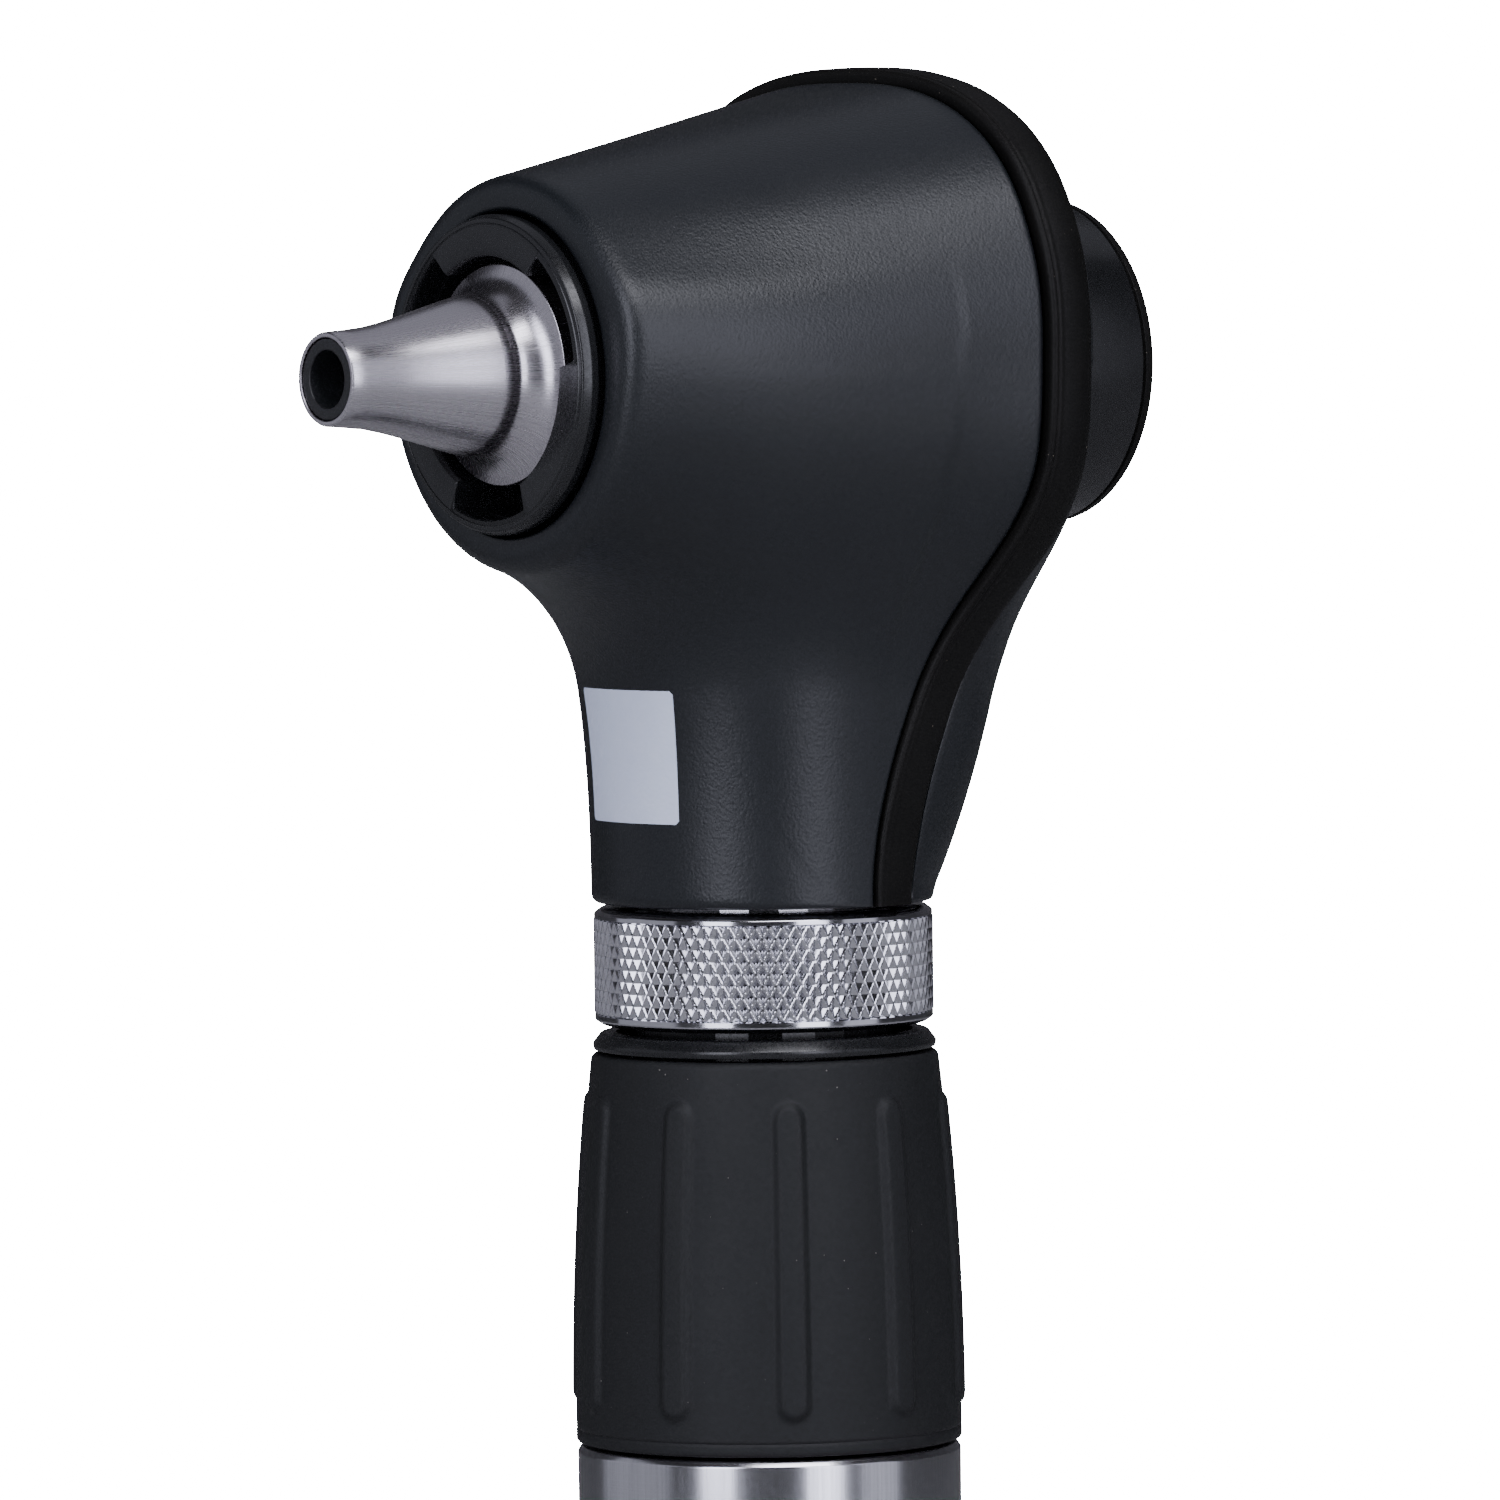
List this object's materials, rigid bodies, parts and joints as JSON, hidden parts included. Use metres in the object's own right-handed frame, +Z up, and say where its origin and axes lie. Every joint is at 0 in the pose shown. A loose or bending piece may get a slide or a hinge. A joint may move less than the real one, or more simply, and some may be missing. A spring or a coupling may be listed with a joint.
{
  "type": "otoscope",
  "caption": "Battery-handle otoscope: a hooded head with a metal speculum cone, turning tip collar and focusing eyepiece, on a round handle with a knurled brightness ring and a ribbed grip.",
  "frame": {"origin": "centre of the base cap's flat underside, on the handle's axis", "axes": "+Z runs up the handle to the head, -Y runs forward along the cone and +Y back through the eyepiece, and +X runs across the head"},
  "size_m": [0.0536, 0.0738, 0.2174],
  "materials": {
    "shell_plastic": "fine leather grain, near-black blue-grey",
    "bumper_rubber": "matte near-black",
    "grip_rubber": "matte near-black",
    "gloss_plastic": "moulded, glossy near-black",
    "cone_steel": "turned and lengthwise polished",
    "ring_chrome": "bright plated, fine diamond knurl",
    "tube_nickel": "satin plated",
    "contact_brass": "bare",
    "bright_steel": "bright turned steel",
    "heat_sink": "turned, anodised clear",
    "lens_glass": "clear polished",
    "insulator": "natural moulded plastic",
    "fibre": "dark potted fibres, polished end",
    "battery_wrap": "plain coloured sleeve",
    "button_green": "moulded"
  },
  "bodies": {
    "handle": {"handle_tube": "tube_nickel", "grip_sleeve": "grip_rubber", "grip_flange": "gloss_plastic", "handle_neck": "gloss_plastic", "bayonet_stud": "bright_steel", "pin_insulator": "insulator", "pin_spring": "bright_steel", "battery": "battery_wrap", "battery_contact": "contact_brass", "feed_spring": "bright_steel", "dimmer_board": "insulator"},
    "head": {"front_shell": "shell_plastic", "bumper_strip": "bumper_rubber", "rear_cover": "shell_plastic", "rear_panel": "shell_plastic", "speculum_cone": "cone_steel", "fibre_ring": "fibre", "fibre_bundle": "fibre", "front_plate": "heat_sink", "objective_lens": "lens_glass", "optics_tube": "gloss_plastic", "relay_lens": "lens_glass", "lens_retainer": "gloss_plastic", "eyepiece_housing": "heat_sink", "eyepiece_lens": "lens_glass", "eyepiece_retainer": "gloss_plastic", "insufflation_port": "bright_steel", "lamp_holder": "heat_sink", "lamp_contact": "contact_brass", "lamp_insulator": "insulator", "lamp_base": "contact_brass", "lamp_bulb": "lens_glass", "head_socket": "bright_steel"},
    "collar": {"tip_collar": "gloss_plastic"},
    "eyepiece_focus": {"focus_ring": "gloss_plastic", "eyecup": "bumper_rubber"},
    "lens_slider": {"lens_carriage": "gloss_plastic", "focus_lens": "lens_glass"},
    "brightness_ring": {"knurled_ring": "ring_chrome"},
    "lock": {"lock_button": "button_green"},
    "pin": {"contact_pin": "contact_brass"},
    "cap": {"base_cap": "gloss_plastic", "cap_spring": "bright_steel"}
  },
  "joints": [
    {"name": "head_twist", "type": "hinge", "parent": "handle", "child": "head", "pos_m": [0, 0, 0.1545], "axis": [0, 0, 1], "range_deg": [0, 30]},
    {"name": "collar_turn", "type": "hinge", "parent": "head", "child": "collar", "pos_m": [0, -0.0235, 0.1933], "axis": [0, 1, 0], "range_deg": [0, 35]},
    {"name": "focus_turn", "type": "hinge", "parent": "head", "child": "eyepiece_focus", "pos_m": [0, 0.024, 0.1933], "axis": [0, 1, 0], "range_deg": [-60, 60]},
    {"name": "lens_slide", "type": "slide", "parent": "head", "child": "lens_slider", "axis": [0, 1, 0], "range_m": [-0.0022, 0.0022]},
    {"name": "ring_turn", "type": "hinge", "parent": "handle", "child": "brightness_ring", "pos_m": [0, 0, 0.1452], "axis": [0, 0, 1], "range_deg": [0, 120]},
    {"name": "button_press", "type": "slide", "parent": "brightness_ring", "child": "lock", "axis": [0, -1, 0], "range_m": [0, 0.0008], "stiffness_N_per_m": 300, "springref_m": -0.002},
    {"name": "pin_press", "type": "slide", "parent": "handle", "child": "pin", "axis": [0, 0, -1], "range_m": [0, 0.001], "stiffness_N_per_m": 400, "springref_m": -0.003, "deforming": ["pin_spring"]},
    {"name": "cap_turn", "type": "hinge", "parent": "handle", "child": "cap", "pos_m": [0, 0, 0.007], "axis": [0, 0, 1], "range_deg": [0, 90]}
  ],
  "couplings": [
    {"joint": "lens_slide", "follows": "focus_turn", "m_per_rad": 0.0019}
  ]
}
